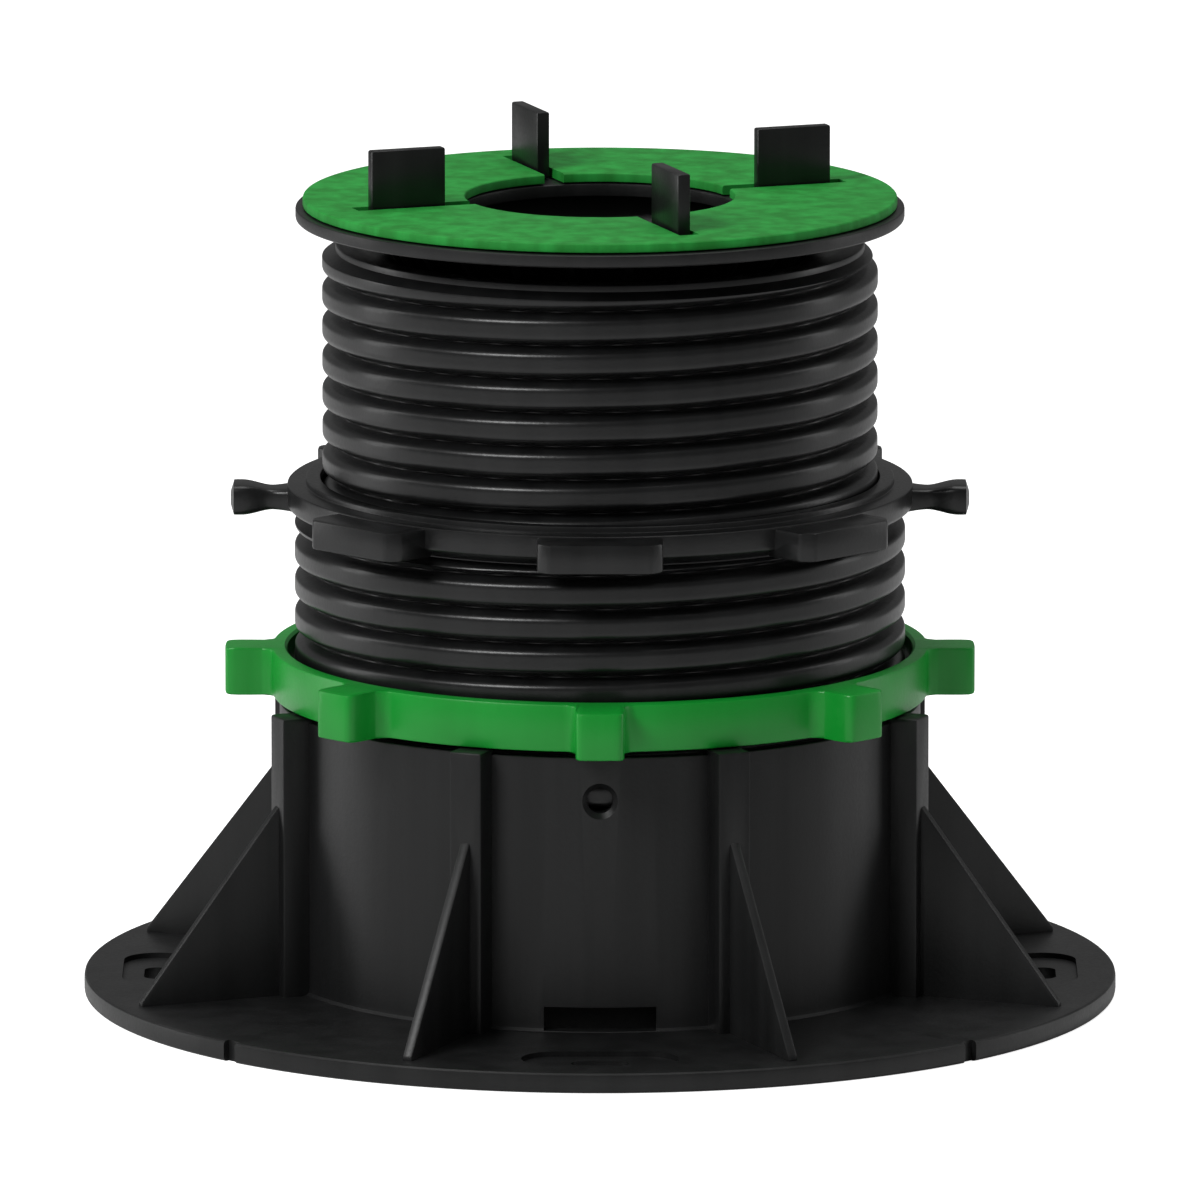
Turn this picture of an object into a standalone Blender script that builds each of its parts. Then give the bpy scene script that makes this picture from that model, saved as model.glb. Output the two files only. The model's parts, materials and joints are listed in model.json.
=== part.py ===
"""Adjustable decking pedestal: flanged base, lock ring, screwed coupler, riser tube and tilting head.

Metres, +Z up, standing on z = 0. The front, with the small hole, faces -Y.
It stands at its full height: two turns of each screw are left in mesh.
"""

from math import asin, cos, pi, radians, sin, sqrt

import bmesh
import bpy
from mathutils import Matrix, Vector

# Clearances
SEAT_GAP = 0.0003
SCREW_GAP = 0.0004
FLANK_GAP = 0.0006
RING_GAP = 0.0015

# Screw thread, the same on the riser tube and the coupler
PITCH = 0.0065
THREAD_DEPTH = 0.0026
SHOULDER_DROP = 0.0005
SHOULDER_SHARE = 0.30
NUT_TURNS = 2.5
TURNS_IN_MESH = 2.0
THREAD_MARGIN = 0.05
END_CHAMFER = 0.0006
SCREW_SEGMENTS = 40

# Riser tube
TUBE_CREST_RADIUS = 0.0536
TUBE_HEIGHT = 0.0587
TUBE_WALL = 0.0025
TUBE_RIM_WIDTH = 0.0014
TUBE_RIM_HEIGHT = 0.0012
DISH_DEPTH = 0.0126
DISH_FLOOR = 0.0024
DISH_FLOOR_RADIUS = 0.0290
DISH_UPPER_SHARE = 0.25
DISH_MIDDLE_SHARE = 0.6
DISH_FLANK_SHARE = 1.2
PIN_RADIUS = 0.0039
PIN_GAP = 0.0004
DISH_SLOT_LENGTH = 0.0080
DISH_SLOT_WIDTH = 0.0040
DISH_SLOT_RADIUS = 0.0330
DISH_SLOT_ANGLE = 52.0
TUBE_TONGUE_ANGLE = -132.0
TUBE_TONGUE_WIDTH = 0.0095
TUBE_TONGUE_HEIGHT = 0.0060
TUBE_TONGUE_RISE = 0.0030

# Coupler
COUPLER_WALL = 0.0024
COUPLER_HEIGHT = 0.0567
COLLAR_REACH = 0.0014
COLLAR_HEIGHT = 0.0055
COLLAR_STEP = 0.0012
COLLAR_RING_WIDTH = 0.0028
COLLAR_NECK = 0.0020
SHELF_REACH = 0.0076
SHELF_WIDTH = 0.0240
SHELF_HEIGHT = 0.0057
SHELF_CHAMFER = 0.0022
SHELF_ANGLES = (-90.0, -45.0, 45.0, 90.0, 135.0, -135.0)
HANDLE_REACH = 0.0109
HANDLE_WIDTH = 0.0080
HANDLE_HEIGHT = 0.0044
HANDLE_END_LENGTH = 0.0050
HANDLE_END_WIDTH = 0.0100
HANDLE_END_HEIGHT = 0.0060
HANDLE_ANGLES = (0.0, 180.0)
COUPLER_TONGUE_ANGLE = -66.0
COUPLER_TONGUE_WIDTH = 0.0160
COUPLER_TONGUE_HEIGHT = 0.0043
SLIT_WIDTH = 0.0009

# Lock ring
RING_WALL = 0.0030
RING_HEIGHT = 0.0092
LOBE_COUNT = 8
LOBE_REACH = 0.0091
LOBE_WIDTH = 0.0100
LOBE_ROUND = 0.0012
LOBE_FILLET = 0.0028
RING_CHAMFER = 0.0005

# Base
BASE_SEGMENTS = 64
BASE_WALL = 0.0026
BASE_HEIGHT = 0.0575
FLANGE_WIDTH = 0.0380
FLANGE_THICKNESS = 0.0040
FLANGE_CHAMFER = 0.0008
FLOOR_THICKNESS = 0.0030
FLOOR_HOLE_RADIUS = 0.0150
PILASTER_COUNT = 8
PILASTER_DEPTH = 0.0053
PILASTER_WIDTH = 0.0066
PILASTER_BITE = 0.0012
EAR_HEIGHT = 0.0010
GUSSET_MARGIN = 0.0043
GUSSET_DROP = 0.0164
GUSSET_FOOT = 0.0008
GUSSET_THICKNESS = 0.0020
SIGHT_HOLE_RADIUS = 0.0025
SIGHT_HOLE_DROP = 0.0085
SIGHT_CHAMFER = 0.0010
SIGHT_SEGMENTS = 16
DRAIN_WIDTH = 0.0215
DRAIN_HEIGHT = 0.0046
DRAIN_COUNT = 4
POCKET_MARGIN = 0.0140
POCKET_LENGTH = 0.0300
POCKET_WIDTH = 0.0130
POCKET_DEPTH = 0.0010
FIXING_COUNT = 4
FIXING_LENGTH = 0.0110
FIXING_WIDTH = 0.0048
NOTCH_ANGLES = (-45.0, -135.0)
NOTCH_WIDTH = 0.0030
NOTCH_DEPTH = 0.0014

# Head
HEAD_SEGMENTS = 64
HEAD_RISE = 0.0045
DISC_RADIUS = 0.0587
DISC_THICKNESS = 0.0025
DISC_CHAMFER = 0.0007
DISC_HOLE_RADIUS = 0.0260
BOWL_DEPTH = 0.0125
BOWL_BOTTOM_RADIUS = 0.0340
BOWL_TOP_RADIUS = 0.0450
BOWL_WALL = 0.0024
BOWL_FLOOR = 0.0020
RIB_DEPTH = 0.0010
RIB_TOP_DEPTH = 0.0070
BOWL_HOLE_RADIUS = 0.0085
RIB_COUNT = 24
RIB_THICKNESS = 0.0016
RIB_ARC_SHARES = (0.0, 0.35, 0.68, 1.0)
PAD_RADIUS = 0.0573
PAD_THICKNESS = 0.0018
TAB_ANGLES = (20.0, 110.0, 200.0, 290.0)
TAB_LENGTH = 0.0150
TAB_THICKNESS = 0.0026
TAB_HEIGHT = 0.0112
TAB_RADIUS = 0.0395
TAB_TAPER = 0.0002
PAD_SLOT_WIDTH = 0.0040
PAD_SLOT_MARGIN = 0.0030

# Retainer that holds the head in the dish
BAR_LENGTH = 0.0440
BAR_WIDTH = 0.0060
BAR_HEIGHT = 0.0022
BAR_WAIST_LENGTH = 0.0200
BAR_WAIST_WIDTH = 0.0130
HUB_RADIUS = 0.0055
HUB_HEIGHT = 0.0062
PIN_LENGTH = 0.0032
HUB_SEGMENTS = 24

# Radii that follow from the screw fits, from the inside out
TUBE_ROOT_RADIUS = TUBE_CREST_RADIUS - THREAD_DEPTH
COUPLER_BORE_RADIUS = TUBE_CREST_RADIUS + SCREW_GAP
COUPLER_ROOT_RADIUS = COUPLER_BORE_RADIUS + COUPLER_WALL
COUPLER_CREST_RADIUS = COUPLER_ROOT_RADIUS + THREAD_DEPTH
BASE_BORE_RADIUS = COUPLER_CREST_RADIUS + SCREW_GAP
BASE_WALL_RADIUS = BASE_BORE_RADIUS + BASE_WALL
RING_BORE_RADIUS = COUPLER_CREST_RADIUS + RING_GAP
RING_RADIUS = RING_BORE_RADIUS + RING_WALL
LOBE_RADIUS = RING_RADIUS + LOBE_REACH
COLLAR_RING_RADIUS = COUPLER_BORE_RADIUS + COLLAR_RING_WIDTH
COLLAR_RADIUS = COUPLER_CREST_RADIUS + COLLAR_REACH
SHELF_RADIUS = COLLAR_RADIUS + SHELF_REACH
HANDLE_RADIUS = COLLAR_RADIUS + HANDLE_REACH
PILASTER_RADIUS = BASE_WALL_RADIUS + PILASTER_DEPTH
FLANGE_RADIUS = BASE_WALL_RADIUS + FLANGE_WIDTH
GUSSET_REACH = FLANGE_RADIUS - GUSSET_MARGIN
POCKET_RADIUS = FLANGE_RADIUS - POCKET_MARGIN

# Heights at which the pieces stand, one on another
RING_Z = BASE_HEIGHT + EAR_HEIGHT + SEAT_GAP
COUPLER_Z = BASE_HEIGHT - TURNS_IN_MESH * PITCH
COUPLER_TOP = COUPLER_Z + COUPLER_HEIGHT
TUBE_Z = COUPLER_TOP - TURNS_IN_MESH * PITCH
TUBE_TOP = TUBE_Z + TUBE_HEIGHT
RETAINER_Z = TUBE_TOP - DISH_DEPTH + SEAT_GAP
HEAD_Z = TUBE_TOP + HEAD_RISE

# The head's ribs lie on a ball, centred above the disc, that turns in the dish
BALL_RISE = (BOWL_TOP_RADIUS ** 2 - BOWL_BOTTOM_RADIUS ** 2 - BOWL_DEPTH ** 2) / (2 * BOWL_DEPTH)
BALL_RADIUS = sqrt(BOWL_TOP_RADIUS ** 2 + BALL_RISE ** 2)
TILT_Z = HEAD_Z + BALL_RISE


def clear_scene():
    """Remove the scene's objects."""
    for item in list(bpy.data.objects):
        bpy.data.objects.remove(item, do_unlink=True)


def plastic(name, colour, roughness):
    """A moulded plastic, as a Principled BSDF."""
    material = bpy.data.materials.new(name)
    material.use_nodes = True
    shader = material.node_tree.nodes["Principled BSDF"]
    shader.inputs["Base Color"].default_value = (*colour, 1.0)
    shader.inputs["Roughness"].default_value = roughness
    shader.inputs["Metallic"].default_value = 0.0
    return material


def finish(name, shape, material, height=0.0, parent=None):
    """Turn a bmesh into a named object with its own material, at a height on the pedestal's axis."""
    mesh = bpy.data.meshes.new(name)
    shape.to_mesh(mesh)
    shape.free()
    mesh.shade_smooth()
    mesh.set_sharp_from_angle(angle=radians(35))
    mesh.materials.append(material)
    piece = bpy.data.objects.new(name, mesh)
    piece.location = (0.0, 0.0, height)
    bpy.context.collection.objects.link(piece)
    if parent is not None:
        piece.parent = parent
        piece.location.z = height - parent.location.z
    return piece


def helper(name, shape, target, operation):
    """Add or cut a hidden shape from a piece, in the piece's own coordinates."""
    mesh = bpy.data.meshes.new(name)
    shape.to_mesh(mesh)
    shape.free()
    tool = bpy.data.objects.new(name, mesh)
    tool.parent = target
    tool.hide_render = True
    tool.display_type = "WIRE"
    bpy.context.collection.objects.link(tool)
    modifier = target.modifiers.new(name, "BOOLEAN")
    modifier.operation = operation
    modifier.solver = "EXACT"
    modifier.object = tool
    return tool


def even_angles(count):
    """Angles of a full circle, in radians."""
    return [2 * pi * index / count for index in range(count)]


def add_ring(shape, angles, radius, height):
    """One vertex for each angle; the radius is a number, or a function of the angle."""
    ring = []
    for angle in angles:
        reach = radius(angle) if callable(radius) else radius
        ring.append(shape.verts.new((reach * cos(angle), reach * sin(angle), height)))
    return ring


def bridge(shape, first, second):
    """Quads between two rings of equal length."""
    count = len(first)
    for index in range(count):
        after = (index + 1) % count
        shape.faces.new((first[index], first[after], second[after], second[index]))


def thread_points(crest, root, internal):
    """Points of one pitch as (share of the pitch, radius), from one groove centre to the next."""
    if internal:
        return [(-SHOULDER_SHARE, crest), (SHOULDER_SHARE, crest), (0.5, root)]
    shoulder = crest - SHOULDER_DROP
    return [(-SHOULDER_SHARE, shoulder), (0.0, crest), (SHOULDER_SHARE, shoulder), (0.5, root)]


def bridge_thread(shape, angles, first, second, points, datum):
    """Fill between two plain rings with a right-hand thread whose crest passes datum at angle zero.

    Each column holds the thread's points between the rings, and neighbouring columns are joined
    in the order of their height along the helix.
    """
    start, end = first[0].co.z, second[0].co.z
    direction = 1.0 if end > start else -1.0
    low, high = min(start, end), max(start, end)
    margin = THREAD_MARGIN * PITCH
    columns = []
    for index, angle in enumerate(angles):
        lead = datum + PITCH * angle / (2 * pi)
        found = []
        for turn in range(int((low - lead) / PITCH) - 2, int((high - lead) / PITCH) + 3):
            for share, radius in points:
                height = lead + (turn + share) * PITCH
                if low + margin < height < high - margin:
                    place = (radius * cos(angle), radius * sin(angle), height)
                    found.append((direction * (height - lead), shape.verts.new(place)))
        found.sort(key=lambda pair: pair[0])
        before = (direction * (start - lead), first[index])
        after = (direction * (end - lead), second[index])
        columns.append([before, *found, after])
    step = PITCH / len(angles)
    for index, column in enumerate(columns):
        last = index == len(columns) - 1
        following = columns[0 if last else index + 1]
        shift = direction * (-PITCH if last else 0.0)
        join_columns(shape, column, [(level + shift, vertex) for level, vertex in following], step)


def join_columns(shape, left, right, step):
    """Join two columns of (level, vertex), level by level."""
    here, there = 0, 0
    while here < len(left) - 1 or there < len(right) - 1:
        up_left = left[here + 1][0] if here < len(left) - 1 else None
        up_right = right[there + 1][0] if there < len(right) - 1 else None
        if up_left is not None and up_right is not None and abs(up_left - up_right) < step / 10:
            corners = (left[here], right[there], right[there + 1], left[here + 1])
            here += 1
            there += 1
        elif up_right is None or (up_left is not None and up_left < up_right):
            corners = (left[here], right[there], left[here + 1])
            here += 1
        else:
            corners = (left[here], right[there], right[there + 1])
            there += 1
        shape.faces.new([vertex for _, vertex in corners])


def turned(section, angles):
    """A closed body of revolution: up its outside, over the top and down its bore.

    The section lists (radius, height) rings, and a dict between two rings is a screw thread.
    """
    shape = bmesh.new()
    rings = [None if isinstance(item, dict) else add_ring(shape, angles, *item) for item in section]
    count = len(section)
    index = 0
    while index < count:
        thread = section[index + 1] if index + 1 < count and rings[index + 1] is None else None
        if thread is None:
            bridge(shape, rings[index], rings[(index + 1) % count])
            index += 1
        else:
            bridge_thread(shape, angles, rings[index], rings[index + 2], **thread)
            index += 2
    return shape


def place(points, angle, centre=(0.0, 0.0, 0.0)):
    """Turn points (out along the radius, across it, up) to an angle in degrees about the axis."""
    turn = Matrix.Translation(Vector(centre)) @ Matrix.Rotation(radians(angle), 4, "Z")
    return [turn @ Vector(point) for point in points]


def add_prism(shape, bottom, top):
    """A closed prism between two like outlines that run counter-clockwise seen from the top."""
    low = [shape.verts.new(point) for point in bottom]
    high = [shape.verts.new(point) for point in top]
    bridge(shape, low, high)
    shape.faces.new(list(reversed(low)))
    shape.faces.new(high)


def add_plan(shape, outline, low, high, angle, shrink=1.0):
    """A prism from an outline in plan, seen with the radius along its first coordinate."""
    bottom = [(out, across, low) for out, across in outline]
    top = [(out, across * shrink, high) for out, across in outline]
    add_prism(shape, place(bottom, angle), place(top, angle))


def add_plate(shape, outline, thickness, angle):
    """An upright radial plate from an outline of (radius, height), counter-clockwise from its right."""
    half = thickness / 2
    near = [(out, half, up) for out, up in outline]
    far = [(out, -half, up) for out, up in outline]
    add_prism(shape, place(near, angle), place(far, angle))


def bar_outline(inner, outer, width, chamfer=0.0):
    """A rectangle in plan whose outer corners may be chamfered."""
    half = width / 2
    if not chamfer:
        return [(inner, -half), (outer, -half), (outer, half), (inner, half)]
    return [(inner, -half), (outer - chamfer, -half), (outer, -half + chamfer),
            (outer, half - chamfer), (outer - chamfer, half), (inner, half)]


def oval_outline(radius, length, width, steps=5):
    """An oval slot in plan, its length across the radius."""
    reach = length / 2 - width / 2
    outline = []
    for side in (1, -1):
        for index in range(steps):
            angle = pi * index / (steps - 1) + (0 if side > 0 else pi)
            outline.append((radius + width / 2 * cos(angle), side * reach + width / 2 * sin(angle)))
    return outline


def make_base():
    """Foot of the base: a broad flange and the well's floor, with a drain hole and fixing slots.

    The real base is one moulding. Its wall is a node of its own, so that collision stays open in
    the well, and it stands on the foot with the seat gap.
    """
    section = [
        (FLOOR_HOLE_RADIUS, 0.0),
        (FLANGE_RADIUS - FLANGE_CHAMFER, 0.0),
        (FLANGE_RADIUS, FLANGE_CHAMFER),
        (FLANGE_RADIUS, FLANGE_THICKNESS - FLANGE_CHAMFER),
        (FLANGE_RADIUS - FLANGE_CHAMFER, FLANGE_THICKNESS),
        (BASE_BORE_RADIUS, FLANGE_THICKNESS),
        (BASE_BORE_RADIUS, FLOOR_THICKNESS),
        (FLOOR_HOLE_RADIUS, FLOOR_THICKNESS),
    ]
    body = turned(section, even_angles(BASE_SEGMENTS))
    base = finish("base", body, plastic("base_black", (0.012, 0.012, 0.013), 0.42))

    cuts = bmesh.new()
    pockets = bmesh.new()
    for index in range(FIXING_COUNT):
        angle = 360.0 / FIXING_COUNT * index
        fixing = oval_outline(POCKET_RADIUS, FIXING_LENGTH, FIXING_WIDTH)
        add_plan(cuts, fixing, -FLANGE_THICKNESS, 2 * FLANGE_THICKNESS, angle)
        pocket = oval_outline(POCKET_RADIUS, POCKET_LENGTH, POCKET_WIDTH)
        add_plan(pockets, pocket, FLANGE_THICKNESS - POCKET_DEPTH, 2 * FLANGE_THICKNESS, angle)
    for angle in NOTCH_ANGLES:
        notch = bar_outline(FLANGE_RADIUS - NOTCH_DEPTH, FLANGE_RADIUS + NOTCH_DEPTH, NOTCH_WIDTH)
        add_plan(cuts, notch, -FLANGE_THICKNESS, 2 * FLANGE_THICKNESS, angle)
    helper("pocket_cuts", pockets, base, "DIFFERENCE")
    helper("fixing_cuts", cuts, base, "DIFFERENCE")
    return base


def make_base_wall():
    """Wall of the base: a nut thread inside, pilasters and gussets outside, and drain windows."""
    foot = FLANGE_THICKNESS + SEAT_GAP
    nut_low = BASE_HEIGHT - END_CHAMFER - NUT_TURNS * PITCH
    thread = {"points": thread_points(BASE_BORE_RADIUS, COUPLER_ROOT_RADIUS + FLANK_GAP, True),
              "datum": COUPLER_Z}
    section = [
        (BASE_BORE_RADIUS, foot),
        (BASE_WALL_RADIUS, foot),
        (BASE_WALL_RADIUS, BASE_HEIGHT),
        (BASE_BORE_RADIUS + END_CHAMFER, BASE_HEIGHT),
        (BASE_BORE_RADIUS, BASE_HEIGHT - END_CHAMFER),
        thread,
        (BASE_BORE_RADIUS, nut_low),
    ]
    body = turned(section, even_angles(BASE_SEGMENTS))
    wall = finish("base_wall", body, plastic("base_wall_black", (0.012, 0.012, 0.013), 0.42))

    inner = BASE_WALL_RADIUS - PILASTER_BITE
    pilasters = bmesh.new()
    gussets = bmesh.new()
    gusset_top = BASE_HEIGHT - GUSSET_DROP
    slope = [
        (PILASTER_RADIUS - PILASTER_BITE, foot),
        (GUSSET_REACH, foot),
        (GUSSET_REACH, FLANGE_THICKNESS + GUSSET_FOOT),
        (PILASTER_RADIUS, gusset_top),
        (PILASTER_RADIUS - PILASTER_BITE, gusset_top),
    ]
    for index in range(PILASTER_COUNT):
        angle = 360.0 / PILASTER_COUNT * (index + 0.5)
        outline = bar_outline(inner, PILASTER_RADIUS, PILASTER_WIDTH)
        add_plan(pilasters, outline, foot, BASE_HEIGHT + EAR_HEIGHT, angle)
        add_plate(gussets, slope, GUSSET_THICKNESS, angle)
    helper("pilasters", pilasters, wall, "UNION")
    helper("gussets", gussets, wall, "UNION")

    windows = bmesh.new()
    for index in range(DRAIN_COUNT):
        angle = 360.0 / DRAIN_COUNT * index
        window = bar_outline(BASE_BORE_RADIUS - BASE_WALL, BASE_WALL_RADIUS + BASE_WALL, DRAIN_WIDTH)
        add_plan(windows, window, FLANGE_THICKNESS, foot + DRAIN_HEIGHT, angle)
    helper("drain_windows", windows, wall, "DIFFERENCE")

    hole = bmesh.new()
    flare = SIGHT_CHAMFER + BASE_WALL
    steps = ((BASE_BORE_RADIUS - BASE_WALL, SIGHT_HOLE_RADIUS),
             (BASE_WALL_RADIUS - SIGHT_CHAMFER, SIGHT_HOLE_RADIUS),
             (BASE_WALL_RADIUS + BASE_WALL, SIGHT_HOLE_RADIUS + flare))
    rings = []
    for out, radius in steps:
        circle = [(radius * cos(angle), -out, radius * sin(angle)) for angle in even_angles(SIGHT_SEGMENTS)]
        rings.append([hole.verts.new(point) for point in circle])
    bridge(hole, rings[0], rings[1])
    bridge(hole, rings[1], rings[2])
    hole.faces.new(list(reversed(rings[0])))
    hole.faces.new(rings[2])
    bmesh.ops.translate(hole, verts=hole.verts, vec=(0.0, 0.0, BASE_HEIGHT - SIGHT_HOLE_DROP))
    helper("sight_hole_cut", hole, wall, "DIFFERENCE")
    return wall


def lobed_angles():
    """Angles at which the lock ring's outline has a corner or a curve, and two between its lobes."""
    spacing = 2 * pi / LOBE_COUNT
    neck = asin(LOBE_WIDTH / 2 / RING_RADIUS)
    tip = asin((LOBE_WIDTH / 2 - LOBE_ROUND) / LOBE_RADIUS)
    side = asin(LOBE_WIDTH / 2 / LOBE_RADIUS)
    fillet = neck + LOBE_FILLET / RING_RADIUS
    angles = []
    for index in range(LOBE_COUNT):
        centre = index * spacing
        gap = (spacing - 2 * fillet) / 3
        angles += [centre - fillet, centre - neck, centre - side, centre - tip]
        angles += [centre + tip, centre + side, centre + neck, centre + fillet]
        angles += [centre + fillet + gap, centre + fillet + 2 * gap]
    return angles, (tip, side, neck)


def make_lock_ring():
    """Green lock ring: a band with eight square lobes to turn it by."""
    angles, (tip, side, neck) = lobed_angles()
    spacing = 2 * pi / LOBE_COUNT

    def outline(inset):
        def reach(angle):
            off = abs((angle + spacing / 2) % spacing - spacing / 2)
            margin = (neck - side) / 4
            if off < tip + margin / 8:
                return LOBE_RADIUS - inset
            if off < side + margin:
                return LOBE_RADIUS - LOBE_ROUND - inset
            if off < neck + margin:
                return RING_RADIUS + LOBE_FILLET / 2 - inset
            return RING_RADIUS - inset
        return reach

    section = [
        (RING_BORE_RADIUS, 0.0),
        (outline(RING_CHAMFER), 0.0),
        (outline(0.0), RING_CHAMFER),
        (outline(0.0), RING_HEIGHT - RING_CHAMFER),
        (outline(RING_CHAMFER), RING_HEIGHT),
        (RING_BORE_RADIUS, RING_HEIGHT),
    ]
    body = turned(section, angles)
    return finish("lock_ring", body, plastic("ring_green", (0.017, 0.305, 0.045), 0.38), RING_Z)


def make_coupler():
    """Coupler: screwed outside and in, with a collar, six shelves and two handles."""
    top = COUPLER_HEIGHT
    collar_low = top - COLLAR_HEIGHT
    outside = {"points": thread_points(COUPLER_CREST_RADIUS, COUPLER_ROOT_RADIUS, False), "datum": 0.0}
    inside = {"points": thread_points(COUPLER_BORE_RADIUS, TUBE_ROOT_RADIUS + FLANK_GAP, True),
              "datum": TUBE_Z - COUPLER_Z}
    section = [
        (COUPLER_BORE_RADIUS, 0.0),
        (COUPLER_ROOT_RADIUS - END_CHAMFER, 0.0),
        outside,
        (COUPLER_ROOT_RADIUS, collar_low - COLLAR_NECK),
        (COLLAR_RADIUS, collar_low),
        (COLLAR_RADIUS, top - COLLAR_STEP),
        (COLLAR_RING_RADIUS, top - COLLAR_STEP),
        (COLLAR_RING_RADIUS, top),
        (COUPLER_BORE_RADIUS + END_CHAMFER, top),
        (COUPLER_BORE_RADIUS, top - END_CHAMFER),
        inside,
        (COUPLER_BORE_RADIUS, top - END_CHAMFER - NUT_TURNS * PITCH),
    ]
    body = turned(section, even_angles(SCREW_SEGMENTS))
    colour = plastic("coupler_black", (0.014, 0.014, 0.015), 0.40)
    coupler = finish("coupler", body, colour, COUPLER_Z)

    shelves = bmesh.new()
    inner = COLLAR_RING_RADIUS + SEAT_GAP
    high = top - COLLAR_STEP - SEAT_GAP
    low = high - SHELF_HEIGHT
    for angle in SHELF_ANGLES:
        outline = bar_outline(inner, SHELF_RADIUS, SHELF_WIDTH, SHELF_CHAMFER)
        add_plan(shelves, outline, low, high, angle)
    for angle in HANDLE_ANGLES:
        middle = high - SHELF_HEIGHT / 2
        neck_end = HANDLE_RADIUS - HANDLE_END_LENGTH
        neck = bar_outline(inner, neck_end, HANDLE_WIDTH)
        add_plan(shelves, neck, middle - HANDLE_HEIGHT / 2, middle + HANDLE_HEIGHT / 2, angle)
    helper("shelves_and_necks", shelves, coupler, "UNION")
    ends = bmesh.new()
    for angle in HANDLE_ANGLES:
        end = bar_outline(neck_end - SEAT_GAP, HANDLE_RADIUS, HANDLE_END_WIDTH)
        add_plan(ends, end, middle - HANDLE_END_HEIGHT / 2, middle + HANDLE_END_HEIGHT / 2, angle)
    helper("handle_ends", ends, coupler, "UNION")

    slits = bmesh.new()
    inner = COUPLER_BORE_RADIUS - COUPLER_WALL
    outer = COUPLER_CREST_RADIUS + COUPLER_WALL
    half = COUPLER_TONGUE_WIDTH / 2
    slit_top = COUPLER_TONGUE_HEIGHT + SLIT_WIDTH
    corners = [(-half, -SLIT_WIDTH), (-half + SLIT_WIDTH, -SLIT_WIDTH),
               (-half + SLIT_WIDTH, COUPLER_TONGUE_HEIGHT), (half, COUPLER_TONGUE_HEIGHT),
               (half, slit_top), (-half, slit_top)]
    near = place([(outer, across, up) for across, up in corners], COUPLER_TONGUE_ANGLE)
    far = place([(inner, across, up) for across, up in corners], COUPLER_TONGUE_ANGLE)
    add_prism(slits, far, near)
    helper("tongue_slit", slits, coupler, "DIFFERENCE")
    return coupler


def ball_radius_at(depth, gap):
    """Radius of the seat's ball, opened by a gap, at a depth below the tube's rim."""
    drop = BALL_RISE + HEAD_RISE + depth
    return sqrt((BALL_RADIUS + gap) ** 2 - drop ** 2)


def make_riser_tube():
    """Riser tube: an outer screw, and a dish on top whose seat follows the head's ball."""
    top = TUBE_HEIGHT
    bore = TUBE_ROOT_RADIUS - TUBE_WALL
    rim = TUBE_ROOT_RADIUS
    lip = bore - TUBE_RIM_WIDTH
    floor = top - DISH_DEPTH
    bottom = BOWL_DEPTH - HEAD_RISE
    upper, middle = bottom * DISH_UPPER_SHARE, bottom * DISH_MIDDLE_SHARE
    seat_depths = (upper, middle, bottom, (bottom + DISH_DEPTH) / 2)
    outside = {"points": thread_points(TUBE_CREST_RADIUS, TUBE_ROOT_RADIUS, False), "datum": 0.0}
    hole = PIN_RADIUS + PIN_GAP
    section = [
        (bore, 0.0),
        (TUBE_ROOT_RADIUS - END_CHAMFER, 0.0),
        outside,
        (rim, top - TUBE_RIM_HEIGHT),
        (rim - END_CHAMFER, top),
        (lip, top),
    ]
    section += [(ball_radius_at(depth, SEAT_GAP * 2), top - depth) for depth in seat_depths]
    section += [
        (DISH_FLOOR_RADIUS, floor),
        (hole, floor),
        (hole, floor - DISH_FLOOR),
        (DISH_FLOOR_RADIUS - DISH_FLOOR, floor - DISH_FLOOR),
        (ball_radius_at(middle, SEAT_GAP) - DISH_FLOOR / 2, top - middle - DISH_FLOOR * DISH_FLANK_SHARE),
        (lip - DISH_FLOOR / 2, top - upper - DISH_FLOOR),
        (bore, top - middle - DISH_FLOOR),
    ]
    body = turned(section, even_angles(SCREW_SEGMENTS))
    tube = finish("riser_tube", body, plastic("tube_black", (0.013, 0.013, 0.014), 0.38), TUBE_Z)

    cuts = bmesh.new()
    for side in (-1, 1):
        slot = bar_outline(DISH_SLOT_RADIUS - DISH_SLOT_WIDTH / 2,
                           DISH_SLOT_RADIUS + DISH_SLOT_WIDTH / 2, DISH_SLOT_LENGTH)
        add_plan(cuts, slot, floor - 2 * DISH_FLOOR, top + DISH_FLOOR, -90.0 + side * DISH_SLOT_ANGLE)
    window = bar_outline(bore - TUBE_WALL, TUBE_CREST_RADIUS + TUBE_WALL, TUBE_TONGUE_WIDTH)
    low = TUBE_TONGUE_RISE
    add_plan(cuts, window, low, low + TUBE_TONGUE_HEIGHT, TUBE_TONGUE_ANGLE)
    helper("dish_and_tongue_cuts", cuts, tube, "DIFFERENCE")
    return tube


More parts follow.
